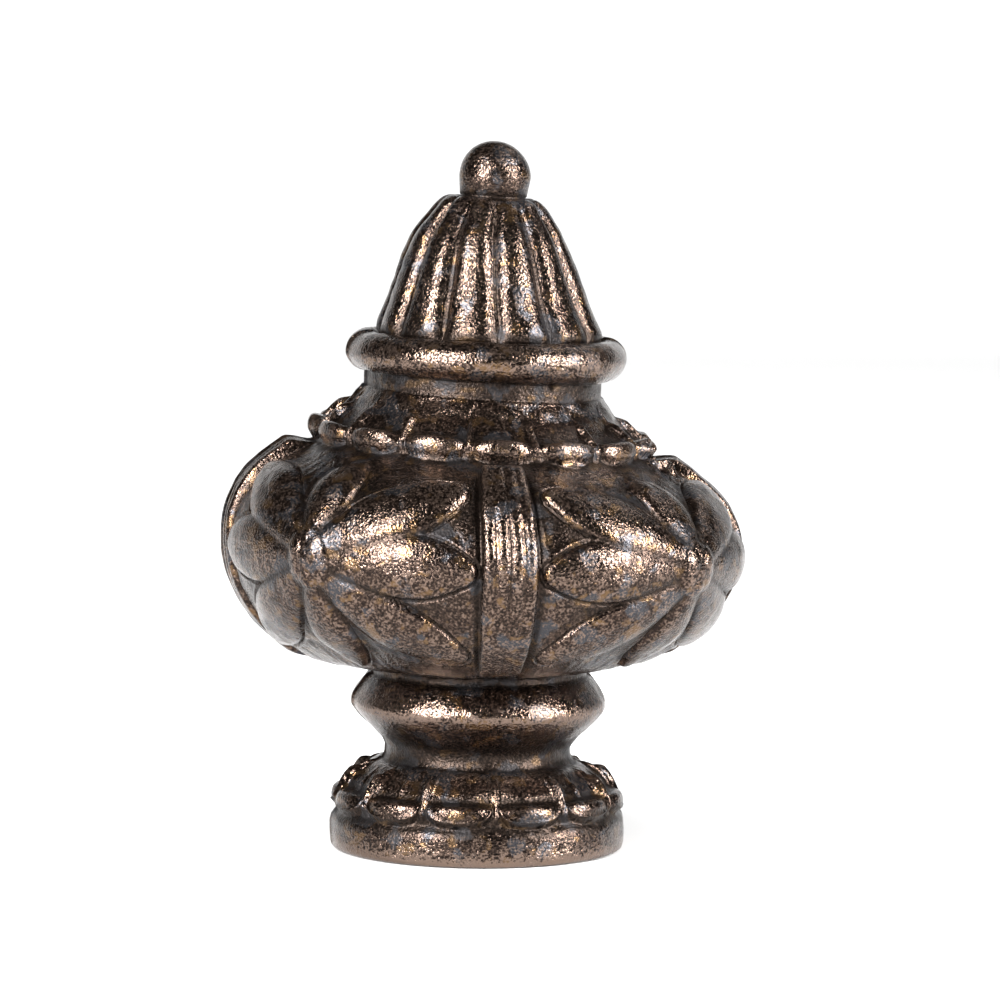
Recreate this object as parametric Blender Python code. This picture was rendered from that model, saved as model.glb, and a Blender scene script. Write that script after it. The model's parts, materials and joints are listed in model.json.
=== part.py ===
"""Cast metal lamp finial: one urn-shaped casting, turned on one axis and carved all round.

From the top down it has a ball, a ribbed bell, a half-round ring, a skirt of petals, a wide bulb
with four rosettes of eight leaves between four stalks, a ridged neck and a foot of petals.
The underside is flat, with a blind threaded hole that is drawn at the thread's major diameter.
"""

import math

import bmesh
import bpy
import numpy as np

# Units: every size below is in millimetres, and every angle in degrees
MM = 0.001

# Ball and its collar
BALL_RADIUS = 2.9
COLLAR_RADIUS = 2.72
COLLAR_HEIGHT = 1.6

# Ribbed bell
BELL_TOP_RADIUS = 2.6
BELL_FOOT_RADIUS = 9.5
BELL_HEIGHT = 11.2
RIB_COUNT = 12
RIB_DEPTH = 0.72
RIB_TURN = -2.0

# Half-round ring under the bell, and the plain neck under the ring
RING_RADIUS = 11.3
RING_TUBE_RADIUS = 1.62
RING_TOP_ANGLE = 96
NECK_RADIUS = 9.5
NECK_HEIGHT = 1.05
NECK_LEDGE = 0.22

# Skirt of petals
SKIRT_HEIGHT = 4.45
SKIRT_FOOT_RADIUS = 13.6
SKIRT_PETALS = 15
SKIRT_PETAL_HEIGHT = 1.65
PETAL_BODY_SHARE = 0.55
SKIRT_PETAL_TURN = 1.3

# Bulb, with its four stalks and four rosettes
BULB_RADIUS = 20.0
BULB_UPPER_HEIGHT = 7.8
BULB_LOWER_HEIGHT = 10.45
BULB_FOOT_RADIUS = 8.85
PANEL_COUNT = 4
STALK_HALF_WIDTH = 6.3
STALK_HEIGHT = 1.3
STALK_GROOVE = 0.35
LEAF_HEIGHT = 1.5
LEAF_HALF_WIDTH = 2.4
LEAF_TIP_WIDTH = 0.42
GROUND_HEIGHT = 0.5
HUB_RADIUS = 1.8
HUB_HEIGHT = 1.85
HUB_DROP = 0.4
BOSS_RISE = 0.3
BOSS_FALL = 0.75
BOSS_REACH = 8.0

# Neck with its ridge, between the bulb and the foot
COLLAR_BAND_RADIUS = 8.75
COLLAR_BAND_HEIGHT = 0.8
COLLAR_BAND_LEDGE = 0.22
RIDGE_RADIUS = 10.33
RIDGE_UPPER_HEIGHT = 2.3
RIDGE_LOWER_HEIGHT = 3.4
WAIST_RADIUS = 7.5
WAIST_FLARE_HEIGHT = 1.15
WAIST_FLARE = 0.22

# Foot with its petals and its rounded rim
FOOT_PETAL_ZONE_HEIGHT = 4.1
FOOT_TOP_RADIUS = 7.94
FOOT_GROOVE_RADIUS = 11.5
FOOT_PETALS = 12
FOOT_PETAL_HEIGHT = 1.15
FOOT_PETAL_TURN = 16.5
DART_HEIGHT = 0.45
FOOT_RIM_RADIUS = 12.0
FOOT_RIM_HEIGHT = 3.1
FOOT_SOLE_RADIUS = 11.4

# Blind threaded hole, 1/4-27, at its major diameter
HOLE_RADIUS = 3.175
HOLE_DEPTH = 9.5
HOLE_CHAMFER = 0.4
HOLE_SIDES = 32
DRILL_TIP_HEIGHT = 1.3

# Fineness of the carved surface, how many of its triangles are kept, and how firmly the hole keeps its own
ROW_SPACING = 0.36
COLUMNS = 216
TRIANGLES_KEPT = 9700
HOLE_PROTECTION = 1000.0

# Colours and finish of the antique bronze
BRONZE_COLOUR = (0.115, 0.075, 0.052, 1.0)
BRONZE_ROUGHNESS = 0.36
BRONZE_METALLIC = 0.9

# Outlines as shares of a moulding's own radius step and height, each from its top down
BELL_OUTLINE = (
    (0.0, 0.0),
    (0.18, 0.025),
    (0.35, 0.14),
    (0.51, 0.28),
    (0.63, 0.44),
    (0.73, 0.62),
    (0.85, 0.81),
    (1.0, 1.0),
)
SKIRT_OUTLINE = ((0.0, 0.0), (0.05, 0.2), (0.12, 0.38), (0.28, 0.55), (0.55, 0.73), (1.0, 1.0))
BULB_UPPER_OUTLINE = ((0.0, 1.0), (0.2, 0.9), (0.45, 0.745), (0.73, 0.535), (0.93, 0.27), (1.0, 0.0))
BULB_LOWER_OUTLINE = (
    (1.0, 0.0),
    (0.96, 0.25),
    (0.825, 0.52),
    (0.64, 0.71),
    (0.42, 0.86),
    (0.2, 0.955),
    (0.0, 1.0),
)
RIDGE_UPPER_OUTLINE = ((0.0, 0.0), (0.33, 0.24), (0.72, 0.54), (0.97, 0.82), (1.0, 1.0))
RIDGE_LOWER_OUTLINE = ((1.0, 0.0), (0.98, 0.12), (0.75, 0.34), (0.37, 0.61), (0.11, 0.83), (0.0, 1.0))
WAIST_OUTLINE = ((0.0, 0.0), (0.25, 0.5), (1.0, 1.0))
FOOT_OUTLINE = ((0.0, 0.0), (0.33, 0.19), (0.61, 0.4), (0.77, 0.66), (0.89, 0.85), (1.0, 1.0))
RIM_OUTLINE = ((0.0, 1.0), (0.62, 0.9), (0.93, 0.72), (1.0, 0.45), (0.95, 0.2), (0.72, 0.05), (0.25, 0.0))

# Midribs of the leaves on the right of a rosette, in millimetres to the side of the hub and above it
SIDE_LEAF = ((1.9, 0.0), (7.0, 0.1), (12.4, -0.2))
UPPER_LEAF = ((1.6, 1.2), (6.4, 4.4), (11.5, 5.9))
LOWER_LEAF = ((1.6, -1.3), (5.8, -5.0), (11.6, -7.6))
TOP_LEAF = ((0.0, 1.9), (0.0, 5.0), (0.0, 8.6))
BOTTOM_LEAF = ((0.0, -2.0), (0.0, -5.5), (0.0, -9.6))

# Shares of the way down the bulb where leaves and stalks start, are full, fade and end
LEAF_ENDS = (0.0, 0.14, 0.78, 0.93)
STALK_ENDS = (0.0, 0.08, 0.74, 0.9)

# Band names, which say what is carved on a row of the surface
PLAIN, BELL, SKIRT, BULB, FOOT = range(5)


def smooth_curve(points, spacing=ROW_SPACING):
    """Evenly spaced points on the smooth curve through the given (radius, height) points."""
    points = np.array(points, float)
    ahead = 2 * points[-1] - points[-2]
    behind = 2 * points[0] - points[1]
    padded = np.vstack([behind, points, ahead])
    share = np.linspace(0, 1, 24, endpoint=False)[:, None]
    pieces = []
    for a, b, c, d in zip(padded, padded[1:], padded[2:], padded[3:]):
        pieces.append(
            b
            + 0.5 * share * (c - a)
            + share**2 * (a - 2.5 * b + 2 * c - 0.5 * d)
            + share**3 * (-0.5 * a + 1.5 * b - 1.5 * c + 0.5 * d)
        )
    return evenly(np.vstack([*pieces, points[-1:]]), spacing)


def evenly(path, spacing=ROW_SPACING):
    """The same path with its points at equal steps of about the given spacing."""
    lengths = np.hypot(*np.diff(path, axis=0).T)
    travelled = np.concatenate([[0.0], np.cumsum(lengths)])
    steps = max(2, math.ceil(travelled[-1] / spacing))
    stops = np.linspace(0, travelled[-1], steps + 1)
    return np.column_stack([np.interp(stops, travelled, path[:, i]) for i in range(2)])


def arc(centre, radius, start, end, spacing=ROW_SPACING):
    """Points on an arc about a (radius, height) centre, from one angle to another, 0 pointing outwards."""
    angles = np.radians(np.linspace(start, end, 60))
    path = np.column_stack([centre[0] + radius * np.cos(angles), centre[1] + radius * np.sin(angles)])
    return evenly(path, spacing)


def upright(radius, top, bottom):
    """An upright stretch of the outline at one radius."""
    return smooth_curve([(radius, top), (radius, bottom)])


def moulding(outline, radii, top, height):
    """A smooth outline from its shares: the first runs between two radii, the second down from the top."""
    return smooth_curve([(radii[0] + (radii[1] - radii[0]) * r, top - height * z) for r, z in outline])


def heights():
    """The height of each joint between two mouldings above the underside, found by stacking them upwards."""
    at = {"rim_top": FOOT_RIM_HEIGHT}
    at["foot_top"] = at["rim_top"] + FOOT_PETAL_ZONE_HEIGHT
    at["waist"] = at["foot_top"] + WAIST_FLARE_HEIGHT
    at["ridge"] = at["waist"] + RIDGE_LOWER_HEIGHT
    at["band"] = at["ridge"] + RIDGE_UPPER_HEIGHT
    at["bulb_foot"] = at["band"] + COLLAR_BAND_HEIGHT
    at["equator"] = at["bulb_foot"] + BULB_LOWER_HEIGHT
    at["skirt_foot"] = at["equator"] + BULB_UPPER_HEIGHT
    at["skirt_top"] = at["skirt_foot"] + SKIRT_HEIGHT
    at["neck_top"] = at["skirt_top"] + NECK_HEIGHT
    at["ring"] = at["neck_top"] + RING_TUBE_RADIUS
    at["bell_foot"] = at["ring"] + RING_TUBE_RADIUS
    at["bell_top"] = at["bell_foot"] + BELL_HEIGHT
    at["ball"] = at["bell_top"] + COLLAR_HEIGHT
    return at


def outline():
    """The turned outline from the ball's crown down to the edge of the flat underside.

    It gives the points, the band of each and its share of the way down that band.
    """
    at = heights()
    ring_centre = (RING_RADIUS - RING_TUBE_RADIUS, at["ring"])
    collar_foot = (COLLAR_RADIUS, at["bell_top"] + 0.1 * COLLAR_HEIGHT)
    neck_radii = (NECK_RADIUS + NECK_LEDGE, SKIRT_FOOT_RADIUS)
    upper_ridge_radii = (COLLAR_BAND_RADIUS + COLLAR_BAND_LEDGE, RIDGE_RADIUS)
    waist_radii = (WAIST_RADIUS, WAIST_RADIUS + WAIST_FLARE)
    foot_radii = (FOOT_TOP_RADIUS, FOOT_GROOVE_RADIUS)
    bands = (
        (PLAIN, arc((0.0, at["ball"]), BALL_RADIUS, 90, 0)),
        (PLAIN, smooth_curve([(BALL_RADIUS, at["ball"]), collar_foot])),
        (BELL, moulding(BELL_OUTLINE, (BELL_TOP_RADIUS, BELL_FOOT_RADIUS), at["bell_top"], BELL_HEIGHT)),
        (PLAIN, arc(ring_centre, RING_TUBE_RADIUS, RING_TOP_ANGLE, -90)),
        (PLAIN, upright(NECK_RADIUS, at["neck_top"], at["skirt_top"] + NECK_LEDGE / 2)),
        (SKIRT, moulding(SKIRT_OUTLINE, neck_radii, at["skirt_top"], SKIRT_HEIGHT)),
        (BULB, bulb_outline(at)),
        (PLAIN, upright(COLLAR_BAND_RADIUS, at["bulb_foot"], at["band"] + COLLAR_BAND_LEDGE / 2)),
        (PLAIN, moulding(RIDGE_UPPER_OUTLINE, upper_ridge_radii, at["band"], RIDGE_UPPER_HEIGHT)),
        (PLAIN, moulding(RIDGE_LOWER_OUTLINE, (WAIST_RADIUS, RIDGE_RADIUS), at["ridge"], RIDGE_LOWER_HEIGHT)),
        (PLAIN, moulding(WAIST_OUTLINE, waist_radii, at["waist"], WAIST_FLARE_HEIGHT)),
        (FOOT, moulding(FOOT_OUTLINE, foot_radii, at["foot_top"], FOOT_PETAL_ZONE_HEIGHT)),
        (PLAIN, rim_outline(at)),
    )
    points, names, shares = [], [], []
    for name, path in bands:
        if points and np.allclose(points[-1][-1], path[0], atol=1e-6):
            path = path[1:]
        points.append(path)
        names.append(np.full(len(path), name))
        shares.append(np.linspace(0, 1, len(path)))
    return np.vstack(points), np.concatenate(names), np.concatenate(shares)


def bulb_outline(at):
    """The bulb's bare surface from the skirt's foot over the equator to the neck."""
    upper = [
        (SKIRT_FOOT_RADIUS + (BULB_RADIUS - SKIRT_FOOT_RADIUS) * r, at["equator"] + BULB_UPPER_HEIGHT * z)
        for r, z in BULB_UPPER_OUTLINE
    ]
    lower = [
        (BULB_FOOT_RADIUS + (BULB_RADIUS - BULB_FOOT_RADIUS) * r, at["equator"] - BULB_LOWER_HEIGHT * z)
        for r, z in BULB_LOWER_OUTLINE
    ]
    return smooth_curve(upper + lower[1:])


def rim_outline(at):
    """The foot's rounded rim from the groove under the petals to the flat sole."""
    points = [
        (FOOT_GROOVE_RADIUS + (FOOT_RIM_RADIUS - FOOT_GROOVE_RADIUS) * r, at["rim_top"] * z)
        for r, z in RIM_OUTLINE
    ]
    return smooth_curve([*points[:-1], (FOOT_SOLE_RADIUS, 0.0)])


def outward(points):
    """The outline's normals, which point out of the metal all the way round."""
    along = np.gradient(points, axis=0)
    normals = np.column_stack([-along[:, 1], along[:, 0]])
    return normals / np.maximum(np.linalg.norm(normals, axis=1), 1e-9)[:, None]


def smoothstep(low, high, value):
    """0 below low, 1 above high and an even slope between."""
    share = np.clip((value - low) / (high - low), 0, 1)
    return share * share * (3 - 2 * share)


def between(share, start, full, fading, end):
    """0 up to start, 1 from full to fading, and 0 again from end."""
    return smoothstep(start, full, share) * (1 - smoothstep(fading, end, share))


def across(angle, count, turn):
    """Where an angle lies in the nearest of so many equal sectors: 0 at its middle and 1 at its sides."""
    sector = np.radians(360 / count)
    return np.abs((angle - np.radians(turn)) / sector - np.round((angle - np.radians(turn)) / sector)) * 2


def bell_relief(angle, share):
    """Ribs that are full in the middle and fall to sharp grooves, with rounded feet."""
    side = across(angle, RIB_COUNT, RIB_TURN + 180 / RIB_COUNT)
    depth = RIB_DEPTH * smoothstep(0.0, 0.3, share)
    foot = np.sqrt(np.clip(1 - (np.clip(share - 0.9, 0, 1) / 0.1) ** 2, 0, 1))
    return -depth * (1 - (1 - side**3) * foot)


def petal_relief(side, share, rounding, height):
    """A tongue that is full along its middle and round at its sides and its lower end."""
    end = np.clip((share - rounding) / (1 - rounding), 0, 1)
    fullness = 1 - (side / 0.98) ** 2.4 - end**2.4
    return height * np.sqrt(np.clip(fullness, 0, 1))


def skirt_relief(angle, share):
    """Petals that leave the neck thin and hollow, and end in thick round lips."""
    side = across(angle, SKIRT_PETALS, SKIRT_PETAL_TURN)
    lip_share = 1 - PETAL_BODY_SHARE
    thickness = PETAL_BODY_SHARE * smoothstep(0.0, 0.3, share) + lip_share * smoothstep(0.45, 0.8, share)
    hollow = 1 - 0.3 * (1 - side**2) * smoothstep(0.2, 0.5, share) * (1 - smoothstep(0.7, 0.9, share))
    return petal_relief(side, share, 0.66, SKIRT_PETAL_HEIGHT * thickness * hollow)


def foot_relief(angle, share):
    """Hollowed petals with full tips, and a small dart between each pair."""
    side = across(angle, FOOT_PETALS, FOOT_PETAL_TURN)
    lip_share = 1 - PETAL_BODY_SHARE
    thickness = PETAL_BODY_SHARE * smoothstep(0.0, 0.3, share) + lip_share * smoothstep(0.45, 0.8, share)
    hollow = 1 - 0.35 * (1 - side**2) * smoothstep(0.15, 0.4, share) * (1 - smoothstep(0.45, 0.7, share))
    petal = petal_relief(side / 0.92, share, 0.6, FOOT_PETAL_HEIGHT * thickness * hollow)
    flank = np.clip(1 - (1 - side) / (0.05 + 0.16 * share), 0, 1)
    dart = DART_HEIGHT * flank * smoothstep(0.25, 0.5, share) * (1 - smoothstep(0.82, 0.98, share))
    return np.maximum(petal, dart)


def leaf_relief(side, above, midrib, height):
    """A plump leaf: the envelope of round blobs whose middles lie along a bent midrib."""
    root, bend, tip = (np.array(p) for p in midrib)
    found = np.zeros_like(side)
    for t in np.linspace(0, 1, 13):
        centre = (1 - t) ** 2 * root + 2 * t * (1 - t) * bend + t**2 * tip
        fullness = LEAF_TIP_WIDTH + (1 - LEAF_TIP_WIDTH) * math.sin(math.pi * t**1.3)
        distance = ((side - centre[0]) ** 2 + (above - centre[1]) ** 2) / (LEAF_HALF_WIDTH * fullness) ** 2
        found = np.maximum(found, height * (0.7 + 0.3 * fullness) * np.sqrt(np.clip(1 - distance, 0, 1)))
    return found


def bulb_relief(angle, above, share):
    """Four reeded stalks, and between them four rosettes of eight leaves on a low boss each."""
    quarter = 360 / PANEL_COUNT
    from_stalk = across(angle, PANEL_COUNT, 0) * quarter / 2
    side = np.radians(quarter / 2 - from_stalk) * BULB_RADIUS
    found = HUB_HEIGHT * np.sqrt(np.clip(1 - (side**2 + above**2) / HUB_RADIUS**2, 0, 1))
    for midrib in (SIDE_LEAF, UPPER_LEAF, LOWER_LEAF, TOP_LEAF, BOTTOM_LEAF):
        found = np.maximum(found, leaf_relief(side, above, midrib, LEAF_HEIGHT))
    found = np.maximum(found, GROUND_HEIGHT)
    boss = BOSS_RISE - BOSS_FALL * np.clip(np.abs(above) / BOSS_REACH, 0, 1) ** 2
    found = found + boss * (1 - np.cos(np.radians(from_stalk) * PANEL_COUNT)) / 2
    reed = np.abs(2 * from_stalk / STALK_HALF_WIDTH - 1)
    stalk = STALK_HEIGHT - STALK_GROOVE * np.clip(reed, 0, 1) ** 2.5
    stalk = stalk * (1 - smoothstep(0.92, 1.08, from_stalk / STALK_HALF_WIDTH))
    return np.maximum(found * between(share, *LEAF_ENDS), stalk * between(share, *STALK_ENDS))


def carve(points, bands, shares):
    """The carved surface as an array of rows by columns of points, in metres."""
    at = heights()
    angles = np.arange(COLUMNS) * 2 * math.pi / COLUMNS
    normals = outward(points)
    travelled = np.concatenate([[0.0], np.cumsum(np.hypot(*np.diff(points, axis=0).T))])
    on_bulb = np.flatnonzero(bands == BULB)
    hub_row = on_bulb[np.argmin(np.abs(points[on_bulb, 1] - (at["equator"] - HUB_DROP)))]
    surface = np.empty((len(points), COLUMNS, 3))
    for row, (point, normal, band, share) in enumerate(zip(points, normals, bands, shares)):
        if band == BELL:
            relief = bell_relief(angles, share)
        elif band == SKIRT:
            relief = skirt_relief(angles, share)
        elif band == BULB:
            relief = bulb_relief(angles, np.full(COLUMNS, travelled[hub_row] - travelled[row]), share)
        elif band == FOOT:
            relief = foot_relief(angles, share)
        else:
            relief = np.zeros(COLUMNS)
        radius = point[0] + relief * normal[0]
        height = point[1] + relief * normal[1]
        surface[row] = np.column_stack([radius * np.sin(angles), -radius * np.cos(angles), height])
    return surface * MM


def hole_rows():
    """The blind hole's rings from its chamfered mouth up to the drill's tip, in metres."""
    angles = np.arange(HOLE_SIDES) * 2 * math.pi / HOLE_SIDES
    around = np.column_stack([np.sin(angles), -np.cos(angles), np.ones(HOLE_SIDES)])
    mouth = around * (HOLE_RADIUS + HOLE_CHAMFER, HOLE_RADIUS + HOLE_CHAMFER, 0.0)
    wall = [around * (HOLE_RADIUS, HOLE_RADIUS, height) for height in (HOLE_CHAMFER, HOLE_DEPTH)]
    tip = np.array([(0.0, 0.0, HOLE_DEPTH + DRILL_TIP_HEIGHT)])
    return [rows * MM for rows in (mouth, *wall, tip)]


def join(mesh, above, below):
    """A band of faces between two rings of points: quads, or triangles where the rings differ in number."""
    if len(above) == len(below):
        for corners in zip(above, below, below[1:] + below[:1], above[1:] + above[:1]):
            mesh.faces.new(corners)
        return
    i = j = 0
    while i < len(above) or j < len(below):
        first, second = above[i % len(above)], below[j % len(below)]
        if (i + 1) * len(below) <= (j + 1) * len(above):
            i += 1
            mesh.faces.new((first, second, above[i % len(above)]))
        else:
            j += 1
            mesh.faces.new((first, second, below[j % len(below)]))


def skin(rows):
    """A closed mesh over rings of points, with one point at each end."""
    mesh = bmesh.new()
    rings = [[mesh.verts.new(point) for point in row] for row in rows]
    for above, below in zip(rings[1:], rings[2:-1]):
        join(mesh, above, below)
    for end, ring in ((rings[0][0], rings[1]), (rings[-1][0], rings[-2])):
        for pair in zip(ring, ring[1:] + ring[:1]):
            mesh.faces.new((end, *pair))
    bmesh.ops.recalc_face_normals(mesh, faces=mesh.faces)
    return mesh


def bronze():
    """The dark antique bronze of the whole casting."""
    material = bpy.data.materials.new("antique_bronze")
    material.use_nodes = True
    shader = material.node_tree.nodes["Principled BSDF"]
    shader.inputs["Base Color"].default_value = BRONZE_COLOUR
    shader.inputs["Roughness"].default_value = BRONZE_ROUGHNESS
    shader.inputs["Metallic"].default_value = BRONZE_METALLIC
    return material


def make_finial():
    """The whole casting as one object, thinned to few triangles all over but in its hole."""
    outside = carve(*outline())
    body = skin([outside[0][:1], *outside[1:], *hole_rows()])
    data = bpy.data.meshes.new("finial")
    body.to_mesh(data)
    body.free()
    data.shade_smooth()
    data.materials.append(bronze())
    finial = bpy.data.objects.new("finial", data)
    bpy.context.scene.collection.objects.link(finial)
    carved = finial.vertex_groups.new(name="carved")
    carved.add(range(1 + COLUMNS * (len(outside) - 1)), 1.0, "REPLACE")
    data.calc_loop_triangles()
    thinning = finial.modifiers.new("Decimate", "DECIMATE")
    thinning.vertex_group = carved.name
    thinning.vertex_group_factor = HOLE_PROTECTION
    thinning.ratio = min(1.0, TRIANGLES_KEPT / len(data.loop_triangles))
    return finial


def main():
    for obj in list(bpy.data.objects):
        bpy.data.objects.remove(obj, do_unlink=True)
    make_finial()


main()
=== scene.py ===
"""Looks of a cast metal lamp finial: one carved casting in dark antique bronze, in a small white studio.

The casting is turned on one axis. Each moulding gives a bare outline and a carving, a height in
millimetres that stands on it at every angle, and all the mouldings are laid into one closed skin.
"""

import json
import logging
import math
from dataclasses import dataclass, field
from enum import Enum
from typing import Any

import bpy
import numpy as np
from mathutils import Matrix, Vector

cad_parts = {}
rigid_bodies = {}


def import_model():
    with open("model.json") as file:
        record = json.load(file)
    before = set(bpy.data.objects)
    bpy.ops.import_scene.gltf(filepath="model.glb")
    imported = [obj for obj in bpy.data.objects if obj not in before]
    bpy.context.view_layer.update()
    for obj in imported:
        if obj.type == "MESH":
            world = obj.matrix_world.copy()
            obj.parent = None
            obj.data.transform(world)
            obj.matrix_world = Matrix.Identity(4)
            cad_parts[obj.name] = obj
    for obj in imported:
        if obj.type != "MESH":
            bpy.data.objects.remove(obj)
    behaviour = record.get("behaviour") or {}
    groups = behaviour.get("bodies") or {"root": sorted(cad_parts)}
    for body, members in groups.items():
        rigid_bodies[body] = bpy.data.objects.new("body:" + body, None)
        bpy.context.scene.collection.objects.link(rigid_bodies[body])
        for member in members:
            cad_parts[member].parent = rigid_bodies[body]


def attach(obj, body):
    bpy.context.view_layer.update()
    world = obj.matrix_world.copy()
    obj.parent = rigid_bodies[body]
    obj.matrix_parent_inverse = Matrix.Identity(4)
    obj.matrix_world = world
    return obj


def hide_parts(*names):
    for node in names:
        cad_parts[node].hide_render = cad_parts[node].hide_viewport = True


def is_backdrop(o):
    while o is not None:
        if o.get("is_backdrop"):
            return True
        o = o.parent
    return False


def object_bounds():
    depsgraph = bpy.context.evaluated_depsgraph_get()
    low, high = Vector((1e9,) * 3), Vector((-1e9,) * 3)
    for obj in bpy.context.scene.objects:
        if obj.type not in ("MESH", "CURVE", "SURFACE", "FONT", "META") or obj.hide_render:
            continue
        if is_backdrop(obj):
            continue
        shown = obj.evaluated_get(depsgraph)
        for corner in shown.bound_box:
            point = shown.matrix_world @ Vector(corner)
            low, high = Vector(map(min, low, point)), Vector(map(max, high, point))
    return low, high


LOG = logging.getLogger("finial")
MM = 0.001

# How many points go round the axis, and the usual steps down an outline, in millimetres
COLUMNS = 960
FINE = 0.14
COARSE = 0.28
TRIANGLES_KEPT = 196000

# The areas that the hollows are measured over, as rows and columns of points to each side
NEAR_AREAS = ((4, 5), (9, 11))
WIDE_AREA = (16, 30)

Array = np.ndarray
Point = tuple[float, float]
Colour = tuple[float, float, float, float]
Settings = dict | None


def smoothstep(low: float, high: float, value: Array) -> Array:
    """An even slope: 0 below low, 1 above high, and 3 x^2 - 2 x^3 of the share x between.

    Args:
        low: where the slope starts.
        high: where it ends.
        value: the numbers to map.

    Returns:
        The mapped numbers.
    """
    share = np.clip((value - low) / (high - low), 0, 1)
    return share * share * (3 - 2 * share)


def hump(centre: float, width: float, value: Array) -> Array:
    """A bell-shaped rise: exp(-((value - centre) / width)^2)."""
    return np.exp(-(((value - centre) / width) ** 2))


def dome(value: Array, power: float = 2.0) -> Array:
    """A plump cross-section: the square root of 1 - value^power, and 0 beyond 1."""
    return np.sqrt(np.clip(1 - np.clip(value, 0, 1) ** power, 0, 1))


def across(angle: Array, count: int, turn: float) -> Array:
    """Where an angle lies in the nearest of so many equal sectors.

    Args:
        angle: angles round the axis, in degrees.
        count: how many sectors go round.
        turn: the angle of the middle of one of them.

    Returns:
        0 at a sector's middle, rising evenly to 1 at both its sides.
    """
    place = (angle - turn) * count / 360
    return np.abs(place - np.round(place)) * 2


def evenly(path: Array, spacing: float) -> Array:
    """The same path with its points at equal steps: each coordinate interpolated along the length.

    Args:
        path: (radius, height) points.
        spacing: about how long a step is.

    Returns:
        The (radius, height) points of the same path.
    """
    lengths = np.hypot(*np.diff(path, axis=0).T)
    travelled = np.concatenate([[0.0], np.cumsum(lengths)])
    steps = max(2, math.ceil(travelled[-1] / spacing))
    stops = np.linspace(0, travelled[-1], steps + 1)
    return np.column_stack([np.interp(stops, travelled, path[:, i]) for i in range(2)])


def smooth_curve(points: list[Point] | Array, spacing: float) -> Array:
    """A smooth path through a few points: a Catmull-Rom cubic from each point to the next.

    Args:
        points: the (radius, height) points.
        spacing: the step between the points of the result.

    Returns:
        An array of evenly spaced (radius, height) points.
    """
    given = np.array(points, float)
    padded = np.vstack([2 * given[0] - given[1], given, 2 * given[-1] - given[-2]])
    a, b, c, d = (padded[i : len(padded) - 3 + i, None, :] for i in range(4))
    t = np.linspace(0, 1, 24, endpoint=False)[None, :, None]
    quadratic = t**2 * (a - 2.5 * b + 2 * c - 0.5 * d)
    cubic = t**3 * 0.5 * (3 * b - a - 3 * c + d)
    path = b + 0.5 * t * (c - a) + quadratic + cubic
    return evenly(np.vstack([path.reshape(-1, 2), given[-1:]]), spacing)


def arc(centre: Point, radius: float, start: float, end: float, spacing: float) -> Array:
    """A circular arc: the centre plus the radius times (cos a, sin a).

    Args:
        centre: the (radius, height) point in its middle.
        radius: the arc's radius.
        start: its first angle in degrees, 0 pointing outwards.
        end: its last angle in degrees.
        spacing: the step between the points of the result.

    Returns:
        The (radius, height) points.
    """
    angles = np.radians(np.linspace(start, end, 90))
    out = centre[0] + radius * np.cos(angles)
    up = centre[1] + radius * np.sin(angles)
    return evenly(np.column_stack([out, up]), spacing)


class Operation(Enum):
    """What a Math node does with its two values."""

    ADD = "ADD"
    SUBTRACT = "SUBTRACT"
    MULTIPLY = "MULTIPLY"
    DIVIDE = "DIVIDE"
    SMALLER = "MINIMUM"
    LARGER = "MAXIMUM"


class Sum:
    """A socket that takes part in Python arithmetic: each operator adds one Math node."""

    def __init__(self, tree: "Recipe", socket: bpy.types.NodeSocket) -> None:
        """Wraps a socket of a recipe's node tree."""
        self.tree = tree
        self.socket = socket

    def __add__(self, other: Any) -> "Sum":
        """This plus the other."""
        return self.tree.maths(Operation.ADD, self, other)

    def __sub__(self, other: Any) -> "Sum":
        """This less the other."""
        return self.tree.maths(Operation.SUBTRACT, self, other)

    def __rsub__(self, other: Any) -> "Sum":
        """The other less this."""
        return self.tree.maths(Operation.SUBTRACT, other, self)

    def __mul__(self, other: Any) -> "Sum":
        """This times the other."""
        return self.tree.maths(Operation.MULTIPLY, self, other)

    def __truediv__(self, other: Any) -> "Sum":
        """This over the other."""
        return self.tree.maths(Operation.DIVIDE, self, other)

    __radd__ = __add__
    __rmul__ = __mul__

    def clamped(self) -> "Sum":
        """This, held between 0 and 1."""
        return self.tree.maths(Operation.LARGER, self.tree.maths(Operation.SMALLER, self, 1.0), 0.0)

    def above(self, low: float, high: float) -> "Sum":
        """0 where this is below low, 1 where it is above high, and an even slope between."""
        return ((self - low) / (high - low)).clamped()


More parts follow.
